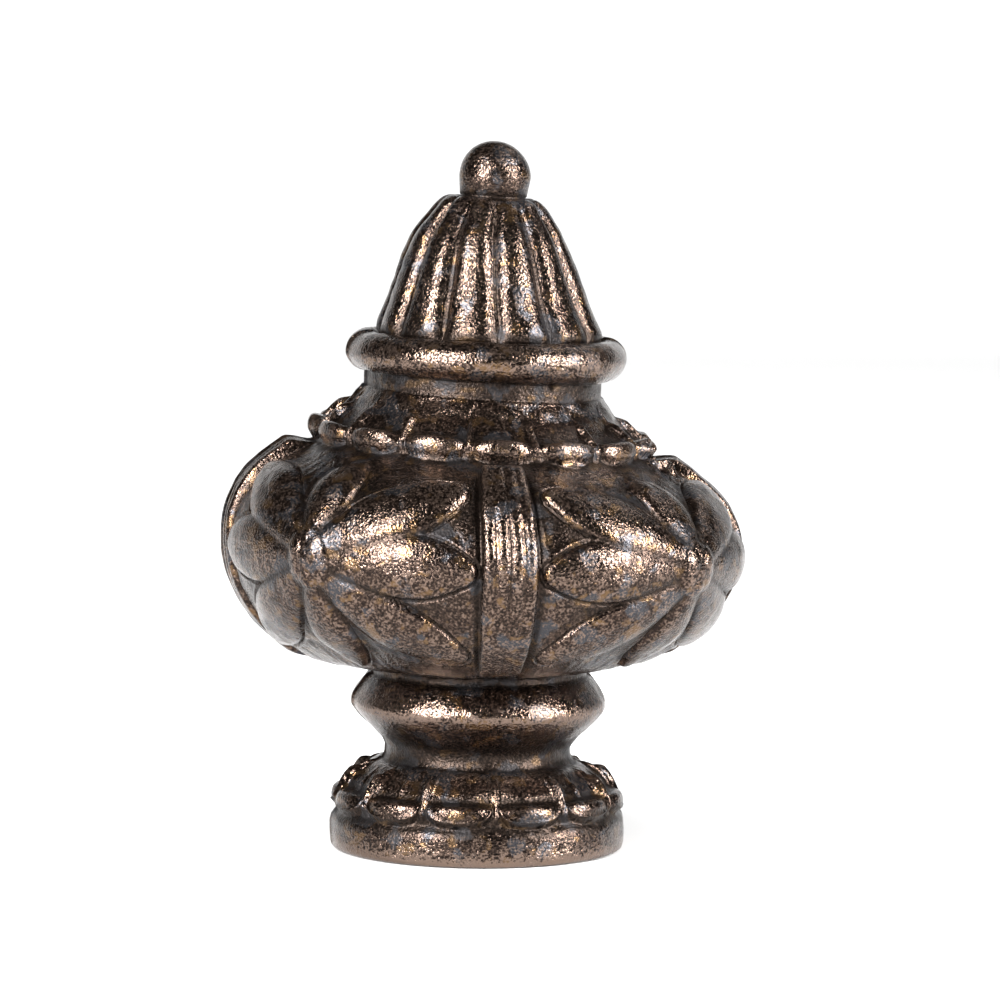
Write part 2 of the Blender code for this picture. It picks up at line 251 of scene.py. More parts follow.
class Recipe:
    """A material's node tree, built from Python expressions."""

    def __init__(self, name: str) -> None:
        """Makes an empty material with the given name."""
        self.material = bpy.data.materials.new(name)
        self.material.use_nodes = True
        self.nodes = self.material.node_tree.nodes
        self.links = self.material.node_tree.links
        self.nodes.clear()

    def node(self, kind: str, settings: Settings = None, inputs: Settings = None) -> bpy.types.Node:
        """Adds a node.

        Args:
            kind: the node's type.
            settings: its own settings, which are set first.
            inputs: values, sockets or sums for its inputs, by name or number.

        Returns:
            The node.
        """
        made = self.nodes.new(kind)
        for name, value in (settings or {}).items():
            setattr(made, name, value)
        for key, value in (inputs or {}).items():
            if isinstance(value, Sum):
                value = value.socket
            if isinstance(value, bpy.types.NodeSocket):
                self.links.new(value, made.inputs[key])
            else:
                made.inputs[key].default_value = value
        return made

    def maths(self, operation: Operation, first: Any, second: Any) -> Sum:
        """Adds a Math node that works on two values."""
        made = self.node("ShaderNodeMath", {"operation": operation.value}, {0: first, 1: second})
        return Sum(self, made.outputs[0])

    def mixed(self, share: Any, first: Any, second: Any) -> bpy.types.NodeSocket:
        """Adds a Mix node for colours and returns its colour."""
        return self.node("ShaderNodeMix", {"data_type": "RGBA"}, {0: share, 6: first, 7: second}).outputs[2]

    def number(self, name: str) -> Sum:
        """An attribute of the mesh as a number."""
        return Sum(self, self.node("ShaderNodeAttribute", {"attribute_name": name}).outputs["Fac"])

    def noise(self, coordinates: Any, size: float, detail: float = 2.0, stretch: tuple = (1, 1, 1)) -> Sum:
        """Noise whose grains are about the given size.

        Args:
            coordinates: the position's socket, in metres.
            size: the grains' size in millimetres.
            detail: how many finer octaves it has.
            stretch: how much finer it is along each axis.

        Returns:
            The noise, 0 to 1.
        """
        scaled = self.node("ShaderNodeMapping", None, {"Vector": coordinates, "Scale": stretch}).outputs[0]
        inputs = {"Vector": scaled, "Scale": 1 / (size * MM), "Detail": detail}
        return Sum(self, self.node("ShaderNodeTexNoise", None, inputs).outputs["Fac"])


@dataclass(frozen=True)
class AntiqueBronze:
    """Dark antique bronze: mottled brown, golden and blue-grey patina, rubbed bright on the crowns."""

    rubbed: Colour = (0.145, 0.102, 0.08, 1)
    brown: Colour = (0.06, 0.0395, 0.03, 1)
    umber: Colour = (0.014, 0.0096, 0.0078, 1)
    gold: Colour = (0.13, 0.077, 0.038, 1)
    slate: Colour = (0.039, 0.04, 0.045, 1)
    # painted shade: the near-black colour laid into the hollows where shade would fall
    painted_shade: Colour = (0.01, 0.0075, 0.006, 1)
    patch_size: float = 2.2
    mottle_size: float = 0.55
    grain_size: float = 0.2
    brush_size: float = 1.1
    gold_strength: float = 0.7
    slate_strength: float = 0.85
    rubbed_strength: float = 0.9
    # how strongly the painted shade darkens the hollows
    painted_shade_strength: float = 0.65
    metallic: float = 0.93
    roughness: float = 0.16
    grain_depth: float = 0.00007

    def material(self) -> bpy.types.Material:
        """Makes the finish: patches, a mottle, painted shade in the hollows, rubbed crowns and a cast grain.

        Each colour is laid over the ones before it where its own mask is high. The masks are noise of several
        sizes, and the painted shade's and the crowns' also follow the mesh's "hollow": the painted shade
        darkens the hollows as shade would.

        Returns:
            The material.
        """
        recipe = Recipe("antique_bronze")
        spot = recipe.node("ShaderNodeTexCoord").outputs["Object"]
        hollow = recipe.number("hollow")
        broad = recipe.noise(spot, self.patch_size * 2.2, 2)
        patch = recipe.noise(spot, self.patch_size, 4)
        tint = recipe.noise(spot, self.patch_size * 0.7, 3, (1.1, 0.9, 1.3))
        mottle = recipe.noise(spot, self.mottle_size, 3)
        grain = recipe.noise(spot, self.grain_size, 2)
        brush = recipe.noise(spot, self.brush_size, 2, (1, 1, 7))
        is_slate = patch.above(0.55, 0.6)
        is_gold = tint.above(0.57, 0.63) * (1 - is_slate)
        crown = (mottle + grain * 2.2 + broad * 0.7 - hollow * 0.5).above(2.03, 2.4)
        # painted shade: darker the deeper a point lies in a hollow, as shade would fall there
        painted_shade = (hollow * 3.6 + (grain - 0.5) * 0.5 - 0.1).above(0.15, 0.9)
        fleck = (mottle * 0.8 + grain * 2.2 - 1.0).above(0.25, 0.75)
        colour = recipe.mixed(fleck, self.umber, self.brown)
        colour = recipe.mixed(is_gold * self.gold_strength, colour, self.gold)
        colour = recipe.mixed(is_slate * self.slate_strength, colour, self.slate)
        colour = recipe.mixed(crown * self.rubbed_strength, colour, self.rubbed)
        # lays the painted shade over the hollows
        colour = recipe.mixed(painted_shade * self.painted_shade_strength, colour, self.painted_shade)
        rough = (self.roughness + is_slate * 0.14 + painted_shade * 0.2 + (grain - 0.5) * 0.3).clamped()
        relief = {"Strength": 1.0, "Distance": self.grain_depth, "Height": grain + brush * 0.2}
        normal = recipe.node("ShaderNodeBump", None, relief).outputs[0]
        surface = {"Base Color": colour, "Metallic": self.metallic, "Roughness": rough, "Normal": normal}
        shader = recipe.node("ShaderNodeBsdfPrincipled", None, surface)
        recipe.node("ShaderNodeOutputMaterial", None, {"Surface": shader.outputs[0]})
        return recipe.material


@dataclass(frozen=True)
class PalePaper:
    """The matt pale paper of the studio's floor and back, which the lights bleach to white."""

    colour: Colour = (0.5, 0.5, 0.5, 1)
    roughness: float = 0.9

    def material(self) -> bpy.types.Material:
        """Makes the finish: one plain matt colour.

        Returns:
            The material.
        """
        recipe = Recipe("pale_paper")
        surface = {"Base Color": self.colour, "Roughness": self.roughness}
        shader = recipe.node("ShaderNodeBsdfPrincipled", None, surface)
        recipe.node("ShaderNodeOutputMaterial", None, {"Surface": shader.outputs[0]})
        return recipe.material


@dataclass(frozen=True)
class Waves:
    """Soft random unevenness: a mean of sine waves of one length in random directions."""

    length: float
    seed: int
    count: int = 24

    def at(self, points: Array) -> Array:
        """The mean of sin(k . p + phase) over the waves, about -1 to 1.

        Args:
            points: positions in millimetres, in an array whose last axis is x, y, z.

        Returns:
            One number for each position.
        """
        draw = np.random.default_rng(self.seed)
        total = np.zeros(points.shape[:-1])
        for _ in range(self.count):
            way = draw.normal(size=3)
            way *= 2 * math.pi / (self.length * draw.uniform(0.7, 1.4) * np.linalg.norm(way))
            total += np.sin(points @ way + draw.uniform(0, 2 * math.pi))
        return total / math.sqrt(self.count / 2)


@dataclass
class Place:
    """Where the points of one moulding lie on the bare surface."""

    angle: Array
    share: Array
    travelled: Array
    point: Array


@dataclass
class Moulding:
    """A turned stretch of the casting, stacked on the one below it."""

    foot: float = 0.0
    spacing: float = COARSE

    def height(self) -> float:
        """How far the moulding lifts what stands on it."""
        return 0.0

    def outline(self) -> Array:
        """The bare (radius, height) points from the top down."""
        raise NotImplementedError

    def carving(self, place: Place) -> Array:
        """The height of the carving on the bare surface."""
        return np.zeros(np.broadcast(place.angle, place.share).shape)

    def stretched(self, shares: list[Point], outer: tuple[float, float], foot: float, height: float) -> Array:
        """A smooth outline from shares of its size.

        Args:
            shares: (radius share, share of the way down) points.
            outer: the radii at radius shares 0 and 1.
            foot: the height of its lower end.
            height: its height.

        Returns:
            The (radius, height) points.
        """
        step = outer[1] - outer[0]
        return smooth_curve([(outer[0] + step * r, foot + height * (1 - z)) for r, z in shares], self.spacing)


@dataclass
class Sole(Moulding):
    """The flat underside with its blind threaded hole, from the rim's inner edge to the hole's tip."""

    outer_radius: float = 11.4
    hole_radius: float = 3.0
    hole_depth: float = 9.5
    chamfer: float = 0.45
    tip: float = 1.3
    thread_pitch: float = 0.94
    thread_depth: float = 0.24
    steps_per_thread: int = 6
    flat_spacing: float = 1.2

    def outline(self) -> Array:
        """Straight lines in over the sole, up the threaded wall and in to the drill's tip.

        The wall's radius rises and falls evenly with the depth, once for each turn of the thread.

        Returns:
            The (radius, height) points.
        """
        depths = np.arange(self.chamfer, self.hole_depth, self.thread_pitch / self.steps_per_thread)
        phase = depths / self.thread_pitch
        groove = self.thread_depth * 2 * np.abs(phase - np.round(phase))
        wall = self.hole_radius + groove - self.thread_depth / 2
        ends = np.array([(self.outer_radius, 0.0), (self.hole_radius + self.chamfer, 0.0)])
        flat = evenly(ends, self.flat_spacing)
        end = np.array([(0.0, self.hole_depth + self.tip)])
        return np.vstack([flat, np.column_stack([wall, depths]), end])


@dataclass
class Rim(Moulding):
    """The foot's plain rounded rim, from the groove under the petals to the sole."""

    groove_radius: float = 11.5
    radius: float = 12.0
    sole_radius: float = 11.4
    rise: float = 3.1

    def height(self) -> float:
        """How far the rim lifts the petals."""
        return self.rise

    def outline(self) -> Array:
        """A bullnose: out from the groove, round the rim and in to the sole.

        Returns:
            The (radius, height) points.
        """
        shares = ((0.0, 1.0), (0.1, 0.965), (0.62, 0.9), (0.93, 0.74), (1.0, 0.45), (0.95, 0.2), (0.72, 0.05))
        step = self.radius - self.groove_radius
        points = [(self.groove_radius + step * r, self.foot + self.rise * z) for r, z in shares]
        return smooth_curve([*points, (self.sole_radius, self.foot)], self.spacing)


@dataclass
class Petals:
    """A ring of scooped petals with raised borders and thick round lips, and a dart between each pair."""

    count: int
    turn: float
    thickness: float
    scoop: float
    border: float
    dart: float
    lip_start: float
    vein: float = 0.0
    half_width: float = 0.96
    roundness: float = 2.4
    early_growth: float = 0.62
    late_growth: float = 0.38

    def carving(self, place: Place) -> Array:
        """The petals' height.

        With q = |side|^2.4 + end^2.4, which is 1 on a petal's edge, a petal is its thickness times
        the root of 1 - q, less a scoop in its middle, plus a thin border where q is near 0.8. It
        grows out of the bare surface at its root and thickens once more where its lip starts. A
        dart is a straight ridge on the line between two petals that widens downwards.

        Args:
            place: where the points lie.

        Returns:
            The height at each point.
        """
        share = place.share
        start = self.lip_start
        side = across(place.angle, self.count, self.turn)
        end = np.clip((share - start) / (1 - start), 0, 1)
        edge = (side / self.half_width) ** self.roundness + end**self.roundness
        early = self.early_growth * smoothstep(0.0, 0.4, share)
        growth = early + self.late_growth * smoothstep(start - 0.12, start + 0.08, share)
        inner = smoothstep(0.08, 0.35, share) * (1 - smoothstep(start - 0.14, start + 0.02, share))
        body = self.thickness * growth * np.sqrt(np.clip(1 - edge, 0, 1))
        body = body - self.scoop * np.clip(1 - edge, 0, 1) * inner
        body = body + self.border * hump(0.8, 0.12, edge) * smoothstep(0.06, 0.25, share)
        body = body + self.vein * hump(0, 0.07, side) * inner
        flank = np.clip(1 - (1 - side) / (0.07 + 0.17 * share), 0, 1)
        dart = self.dart * flank * smoothstep(0.15, 0.45, share) * (1 - smoothstep(0.84, 0.97, share))
        return np.maximum(body, dart)


@dataclass
class Foot(Moulding):
    """The flared foot under the neck, with its petals."""

    spacing: float = 0.11
    top_radius: float = 7.94
    radius: float = 11.5
    rise: float = 4.1
    petals: Petals = field(default_factory=lambda: Petals(12, 16.5, 1.15, 0.72, 0.22, 0.95, 0.72, 0.12))

    def height(self) -> float:
        """How far the petals lift the neck."""
        return self.rise

    def outline(self) -> Array:
        """A quarter-round flare."""
        shares = [(0.0, 0.0), (0.33, 0.19), (0.61, 0.4), (0.77, 0.66), (0.89, 0.85), (1.0, 1.0)]
        return self.stretched(shares, (self.top_radius, self.radius), self.foot, self.rise)

    def carving(self, place: Place) -> Array:
        """The ring of petals."""
        return self.petals.carving(place)


@dataclass
class RidgedNeck(Moulding):
    """The neck between bulb and foot: a band, a ridge that is steep above and conical below, a waist."""

    spacing: float = 0.24
    band_radius: float = 8.75
    band_rise: float = 0.8
    ridge_radius: float = 10.33
    upper_rise: float = 2.3
    lower_rise: float = 3.4
    waist_radius: float = 7.5
    waist_rise: float = 1.15
    ledge: float = 0.34

    def height(self) -> float:
        """How far the neck lifts the bulb."""
        return self.waist_rise + self.lower_rise + self.upper_rise + self.band_rise

    def outline(self) -> Array:
        """The band, both slopes of the ridge and the waist, one below the other.

        Returns:
            The (radius, height) points.
        """
        waist = self.foot + self.waist_rise
        ridge = waist + self.lower_rise
        band = ridge + self.upper_rise
        upright = [(self.band_radius, self.foot + self.height()), (self.band_radius, band + self.ledge / 2)]
        upper = [(0.0, 0.0), (0.33, 0.24), (0.72, 0.54), (0.97, 0.82), (1.0, 1.0)]
        lower = [(1.0, 0.0), (0.97, 0.09), (0.76, 0.31), (0.37, 0.61), (0.11, 0.83), (0.0, 1.0)]
        flare = [(0.0, 0.0), (0.15, 0.6), (1.0, 1.0)]
        above_ridge = (self.band_radius + self.ledge, self.ridge_radius)
        below_ridge = (self.waist_radius, self.ridge_radius)
        at_waist = (self.waist_radius, self.waist_radius + self.ledge)
        return np.vstack(
            [
                smooth_curve(upright, self.spacing),
                self.stretched(upper, above_ridge, ridge, self.upper_rise),
                self.stretched(lower, below_ridge, waist, self.lower_rise)[1:],
                self.stretched(flare, at_waist, self.foot, self.waist_rise)[1:],
            ]
        )


@dataclass(frozen=True)
class Leaf:
    """A plump leaf of a rosette. Its midrib is a bent line, in millimetres beside the hub and above it."""

    root: Point
    bend: Point
    tip: Point
    half_width: float
    height: float
    blobs: int = 33
    end_width: float = 0.42
    swell: float = 0.58
    fullest: float = 1.3

    def swelling(self, along: Array) -> Array:
        """How far the leaf has swelled at a share t of its midrib: sin(pi t^1.3), 0 at both ends."""
        return np.sin(math.pi * along**self.fullest)

    def reach(self, side: Array, above: Array) -> tuple[Array, Array, Array]:
        """How points lie to the leaf, which is the envelope of round blobs along its midrib.

        Args:
            side: distance beside the hub.
            above: distance above the hub.

        Returns:
            The distance from the midrib as a share of the half width there (1 on the outline), the
            distance outside the outline in millimetres, and the share of the way along the midrib.
        """
        share = np.full(side.shape, 9.0)
        outside = np.full(side.shape, 99.0)
        along = np.zeros(side.shape)
        corners = list(zip(self.root, self.bend, self.tip))
        for t in np.linspace(0, 1, self.blobs):
            x, y = ((1 - t) ** 2 * a + 2 * t * (1 - t) * b + t**2 * c for a, b, c in corners)
            width = self.half_width * (self.end_width + self.swell * self.swelling(t))
            distance = np.hypot(side - x, above - y)
            nearer = distance / width < share
            share = np.where(nearer, distance / width, share)
            along = np.where(nearer, t, along)
            outside = np.minimum(outside, distance - width)
        return share, outside, along


@dataclass
class Bulb(Moulding):
    """The wide bulb: four reeded stalks, and between them four rosettes of eight plump leaves."""

    spacing: float = FINE
    top_radius: float = 13.6
    radius: float = 20.0
    foot_radius: float = 8.85
    upper_rise: float = 7.3
    lower_rise: float = 10.45
    panels: int = 4
    stalk_half_width: float = 6.3
    stalk_height: float = 1.3
    reeds: int = 4
    reed_depth: float = 0.26
    hub_radius: float = 1.3
    hub_drop: float = 0.4
    ground: float = 0.82
    ground_fall: float = 0.35
    boss_rise: float = 0.3
    boss_fall: float = 0.75
    boss_reach: float = 8.0
    border_depth: float = 0.25
    least_height: float = 0.1
    rib_height: float = 0.02
    rib_spacing: float = 1.15
    crease_depth: float = 0.05
    line_depth: float = 0.2
    burr_height: float = 0.1
    stalk_edge_fall: float = 0.2
    leaves: tuple[Leaf, ...] = (
        Leaf((1.2, 0.0), (7.0, 0.1), (12.3, -0.2), 2.3, 0.72),
        Leaf((1.0, 0.8), (6.4, 4.2), (11.5, 5.9), 2.5, 0.95),
        Leaf((1.0, -0.8), (5.8, -5.0), (11.6, -7.6), 2.45, 0.72),
        Leaf((0.0, 1.3), (0.0, 5.0), (0.0, 8.6), 2.35, 0.8),
        Leaf((0.0, -1.3), (0.0, -5.5), (0.0, -9.6), 2.3, 0.8),
    )

    def height(self) -> float:
        """How far the bulb lifts the skirt."""
        return self.upper_rise + self.lower_rise

    def outline(self) -> Array:
        """Shares of both halves' sizes, from the skirt's foot over the equator to the neck.

        Returns:
            The (radius, height) points.
        """
        equator = self.foot + self.lower_rise
        upper = ((0.0, 1.0), (0.2, 0.9), (0.45, 0.745), (0.73, 0.535), (0.93, 0.27), (1.0, 0.0))
        lower = ((0.96, 0.25), (0.825, 0.52), (0.64, 0.71), (0.42, 0.86), (0.2, 0.955), (0.0, 1.0))
        up_step = self.radius - self.top_radius
        down_step = self.radius - self.foot_radius
        up = [(self.top_radius + up_step * r, equator + self.upper_rise * z) for r, z in upper]
        down = [(self.foot_radius + down_step * r, equator - self.lower_rise * z) for r, z in lower]
        return smooth_curve(up + down, self.spacing)

    def carving(self, place: Place) -> Array:
        """The higher of the stalks and the panels, each of which is a low boss that carries a rosette.

        A boss is its rise less a fall that grows with the square of the distance from the hub's
        level, times a raised cosine from stalk to stalk.

        Args:
            place: where the points lie.

        Returns:
            The height at each point.
        """
        hub_height = self.foot + self.lower_rise - self.hub_drop
        hub_row = int(np.argmin(np.abs(place.point[:, 1] - hub_height)))
        grid = (len(place.share), place.angle.shape[1])
        above = np.broadcast_to(place.travelled[hub_row] - place.travelled, grid)
        quarter = 360 / self.panels
        from_stalk = across(place.angle, self.panels, 0) * quarter / 2
        side = np.radians(quarter / 2 - from_stalk) * self.radius + np.zeros_like(above)
        stalk, clear = self.stalks(from_stalk, above)
        panel = (1 - np.cos(np.radians(from_stalk) * self.panels)) / 2
        fall = self.boss_fall * np.clip(np.abs(above) / self.boss_reach, 0, 1) ** 2
        boss = (self.boss_rise - fall) * panel
        border = self.border_depth * (1 - smoothstep(0.0, 0.7, clear))
        carved = np.maximum(self.rosette(side, above) + boss - border, self.least_height)
        share = place.share
        leaf_ends = smoothstep(0.03, 0.13, share) * (1 - smoothstep(0.8, 0.95, share))
        stalk_ends = smoothstep(0.0, 0.08, share) * (1 - smoothstep(0.74, 0.9, share))
        return np.maximum(carved * leaf_ends, stalk * stalk_ends)

    def rosette(self, side: Array, above: Array) -> Array:
        """The hub and its eight leaves on their ground.

        The ground lies at a level that falls upwards. A leaf stands on it by its height times the
        root of 1 - q^2.2, where q is the share of the half width from its midrib. A thin line is
        incised round each leaf, with a raised burr beside it, and both fade out towards the hub,
        which is a broad soft swell under two small domes.

        Args:
            side: distance beside the nearest hub.
            above: distance above it.

        Returns:
            The height above the bare bulb.
        """
        off_hub = np.hypot(side, above)
        ground = self.ground - self.ground_fall * smoothstep(-2.0, 6.0, above) + np.zeros_like(side)
        waves = np.sin(side * 2 * math.pi / self.rib_spacing)
        ribs = self.rib_height * waves * smoothstep(4.2, 6.0, np.abs(above + 0.5))
        leaves = np.zeros_like(side)
        gap = off_hub - self.hub_radius
        for leaf in self.leaves:
            share, outside, along = leaf.reach(side, above)
            crease = self.crease_depth * hump(0, 0.16, share)
            crease = crease * smoothstep(0.35, 0.6, along) * (1 - smoothstep(0.85, 0.98, along))
            fullness = 0.7 + 0.3 * leaf.swelling(along)
            leaves = np.maximum(leaves, leaf.height * fullness * dome(share, 2.2) - crease)
            gap = np.minimum(gap, outside)
        leaves = np.maximum(leaves, 0.45 * dome(off_hub / 2.2))
        hub = 0.3 * np.exp(-((off_hub / 2.6) ** 2)) + 0.5 * dome(off_hub / 1.9)
        strength = 0.15 + 0.85 * smoothstep(2.4, 4.6, off_hub)
        burr = self.burr_height * hump(0.28, 0.16, gap)
        incised = (burr - self.line_depth * hump(0.02, 0.11, gap)) * strength
        return ground + ribs * smoothstep(0.1, 0.5, gap) + leaves + hub + incised

    def stalks(self, from_stalk: Array, above: Array) -> tuple[Array, Array]:
        """The four stalks: a flat band less the grooves between its reeds.

        Args:
            from_stalk: degrees from the nearest stalk's middle.
            above: distance above the hubs.

        Returns:
            The stalks' height, and the distance outside the nearest one in millimetres.
        """
        across_stalk = from_stalk / self.stalk_half_width
        reed = np.abs(across_stalk) * self.reeds / 2
        groove = np.abs(reed - np.floor(reed) - 0.5) * 2
        strength = 0.3 + 0.7 * smoothstep(-3.6, -1.8, above) * (1 - smoothstep(2.6, 4.2, above))
        edge = self.stalk_edge_fall * np.clip(across_stalk, 0, 1) ** 3
        stalk = self.stalk_height - self.reed_depth * strength * groove**2.2 - edge
        outside = (from_stalk - self.stalk_half_width) * math.radians(self.radius)
        return stalk * (1 - smoothstep(0.93, 1.06, across_stalk)), outside + np.zeros_like(above)


@dataclass
class Skirt(Moulding):
    """The skirt of petals that spreads from the neck over the bulb, with the plain neck above it."""

    spacing: float = 0.11
    neck_radius: float = 9.5
    neck_rise: float = 1.45
    ledge: float = 0.22
    radius: float = 13.6
    rise: float = 4.55
    petals: Petals = field(default_factory=lambda: Petals(15, 1.3, 1.5, 0.6, 0.1, 1.1, 0.77))

    def height(self) -> float:
        """How far skirt and neck lift the ring."""
        return self.rise + self.neck_rise

    def outline(self) -> Array:
        """The upright neck, then a cove that flattens towards its foot.

        Returns:
            The (radius, height) points.
        """
        top = self.foot + self.rise
        upright = [(self.neck_radius, top + self.neck_rise), (self.neck_radius, top + self.ledge / 2)]
        shares = [(0.0, 0.0), (0.1, 0.18), (0.23, 0.36), (0.41, 0.54), (0.66, 0.74), (1.0, 1.0)]
        cove = self.stretched(shares, (self.neck_radius + self.ledge, self.radius), self.foot, self.rise)
        return np.vstack([smooth_curve(upright, self.spacing), cove])

    def carving(self, place: Place) -> Array:
        """The ring of petals, with the shares of the way down counted from the neck's foot.

        Args:
            place: where the points lie.

        Returns:
            The height at each point.
        """
        start = float(place.travelled[np.argmax(place.point[:, 0] > self.neck_radius + self.ledge / 2)])
        share = np.clip((place.travelled - start) / (place.travelled[-1] - start), 0, 1)
        below = Place(place.angle, share, place.travelled, place.point)
        return self.petals.carving(below) * (share > 0)


@dataclass
class Ring(Moulding):
    """The plain half-round ring under the bell."""

    spacing: float = 0.2
    radius: float = 11.3
    tube: float = 1.62

    def height(self) -> float:
        """How far the ring lifts the bell."""
        return 2 * self.tube

    def outline(self) -> Array:
        """A half circle that bulges outwards."""
        return arc((self.radius - self.tube, self.foot + self.tube), self.tube, 96, -90, self.spacing)


@dataclass
class Bell(Moulding):
    """The ribbed bell: round ribs with a thin fillet in each groove between them."""

    spacing: float = FINE
    top_radius: float = 2.6
    radius: float = 9.5
    rise: float = 11.2
    ribs: int = 12
    turn: float = 13.0
    depth: float = 0.78
    fillet: float = 0.2
    fillet_width: float = 0.07
    shoulder: float = 0.1

    def height(self) -> float:
        """How far the bell lifts the ball."""
        return self.rise

    def outline(self) -> Array:
        """A round shoulder that falls to a straighter, slightly flared skirt.

        Returns:
            The (radius, height) points.
        """
        upper = [(0.0, 0.0), (0.18, 0.025), (0.35, 0.14), (0.51, 0.28)]
        shares = [*upper, (0.63, 0.44), (0.73, 0.62), (0.85, 0.81), (1.0, 1.0)]
        return self.stretched(shares, (self.top_radius, self.radius), self.foot, self.rise)

    def carving(self, place: Place) -> Array:
        """Ribs that fall by depth times side^3 to each groove, where a thin fillet stands.

        Args:
            place: where the points lie.

        Returns:
            The height at each point.
        """
        share = place.share
        side = across(place.angle, self.ribs, self.turn)
        lower_end = dome(np.clip(share - 0.9, 0, 1) / 0.1)
        rib = -self.depth * smoothstep(0.0, 0.3, share) * (1 - (1 - side**3) * lower_end)
        fillet = self.fillet * np.clip(1 - (1 - side) / self.fillet_width, 0, 1) * smoothstep(0.12, 0.3, share)
        shoulder = self.shoulder * (1 - side**2) * hump(0.12, 0.09, share)
        return rib + fillet * (1 - smoothstep(0.9, 0.96, share)) + shoulder


@dataclass
class Ball(Moulding):
    """The ball on its short collar."""

    spacing: float = 0.2
    radius: float = 2.9
    collar_radius: float = 2.72
    collar_rise: float = 1.6

    def outline(self) -> Array:
        """A quarter circle from the crown, then the collar.

        Returns:
            The (radius, height) points.
        """
        centre = self.foot + self.collar_rise
        crown = arc((0.0, centre), self.radius, 90, 0, self.spacing)
        collar = [(self.radius, centre), (self.collar_radius, self.foot + 0.1 * self.collar_rise)]
        return np.vstack([crown, smooth_curve(collar, self.spacing)[1:]])


@dataclass(frozen=True)
class CastFlaws:
    """What the mould left: an uneven skin, a parting seam with the back half a little off, and flash."""

    unevenness: float = 0.03
    uneven_waves: Waves = Waves(5.0, 3)
    dimples: float = 0.012
    dimple_waves: Waves = Waves(1.3, 4)
    seam_height: float = 0.1
    seam_width: float = 0.2
    back_shift: tuple[float, float, float] = (-0.15, 0.0, 0.1)
    bearing: float = -6.2
    wander: tuple[Point, ...] = (
        (1.0, 0.0),
        (13.0, 0.1),
        (20.0, 0.2),
        (26.0, 0.3),
        (31.0, 0.14),
        (36.0, 0.13),
        (38.6, 0.23),
        (42.3, 0.7),
        (45.0, 0.56),
        (50.0, 0.55),
        (55.0, 0.97),
    )
    tilt: tuple[Point, ...] = (
        (4.0, 0.0),
        (9.0, 0.02),
        (15.0, 0.0),
        (26.0, 0.033),
        (36.0, 0.06),
        (42.0, 0.03),
        (54.0, 0.05),
    )
    flash_angle: float = 71.0
    flash_height: float = 32.2
    flash_size: float = 0.85
    flash_waves: Waves = Waves(1.1, 5)

    def relief(self, points: Array, angle: Array) -> Array:
        """The added height: two scales of soft waves, a fin at both seams and a ragged lump of flash.

        Args:
            points: the bare surface's points in millimetres.
            angle: their angles round the axis in degrees.

        Returns:
            The height to add at each point.
        """
        radius = np.hypot(points[..., 0], points[..., 1])
        height = points[..., 2]
        total = self.unevenness * self.uneven_waves.at(points) + self.dimples * self.dimple_waves.at(points)
        off_seam = across(angle, 2, 90.0) * np.radians(90) * radius
        total = total + self.seam_height * hump(0, self.seam_width, off_seam)
        beside = np.radians(np.abs(angle - self.flash_angle)) * radius
        lump = hump(0, 1.3, beside) * hump(self.flash_height, 0.9, height) * (radius > 12.5)
        total = total + self.flash_size * lump * (0.55 + 0.45 * self.flash_waves.at(points))
        return total * smoothstep(0.0, 0.6, height) * (radius > 3.4)

    def warped(self, points: Array, angle: Array) -> Array:
        """Moves the points as the casting is: back half a little off, rings tilted, axis not straight.

        Args:
            points: the carved surface's points, with x, y, z last.
            angle: their angles round the axis in degrees, -180 to 180.

        Returns:
            The moved points.
        """
        radius = np.hypot(points[..., 0], points[..., 1])
        height = points[..., 2]
        past = (np.abs(angle) - 90) * np.radians(1) * radius
        back = smoothstep(-0.15, 0.15, past) * smoothstep(1.0, 14.0, height) * smoothstep(2.6, 5.0, radius)
        moved = points + back[..., None] * np.array(self.back_shift)
        aside = np.array([math.cos(math.radians(self.bearing)), math.sin(math.radians(self.bearing)), 0.0])
        outside = smoothstep(3.6, 4.4, radius + height / 3)
        drop = np.interp(height, *zip(*self.tilt)) * (moved @ aside) * outside
        lean = np.interp(height, *zip(*self.wander)) * outside
        return moved + lean[..., None] * aside - drop[..., None] * np.array([0.0, 0.0, 1.0])


